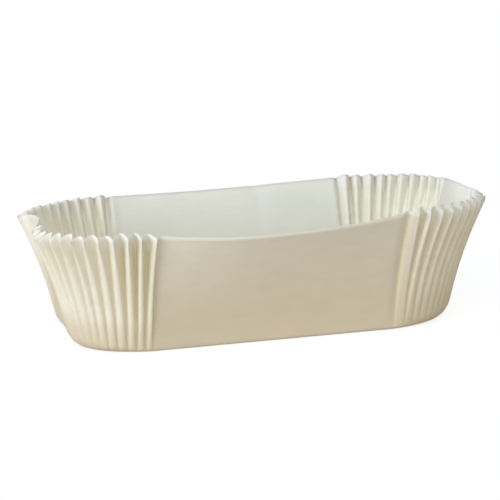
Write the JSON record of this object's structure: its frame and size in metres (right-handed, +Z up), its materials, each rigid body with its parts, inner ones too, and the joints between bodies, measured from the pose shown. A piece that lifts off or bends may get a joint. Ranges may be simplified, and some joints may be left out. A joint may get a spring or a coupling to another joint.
{
  "type": "loaf tin liner",
  "caption": "Greaseproof paper tray for lining a loaf tin: plain floor and long sides, pleated corners that flare to the rim.",
  "frame": {"origin": "underside of the floor, in the middle of the floor", "axes": "+X along the liner's length, +Z up out of the open top, -Y towards the front side"},
  "size_m": [0.2248, 0.117, 0.0653],
  "materials": {
    "greaseproof_paper": "smooth greaseproof paper, matt, slightly translucent"
  },
  "bodies": {
    "root": {"liner": "greaseproof_paper"}
  },
  "joints": []
}
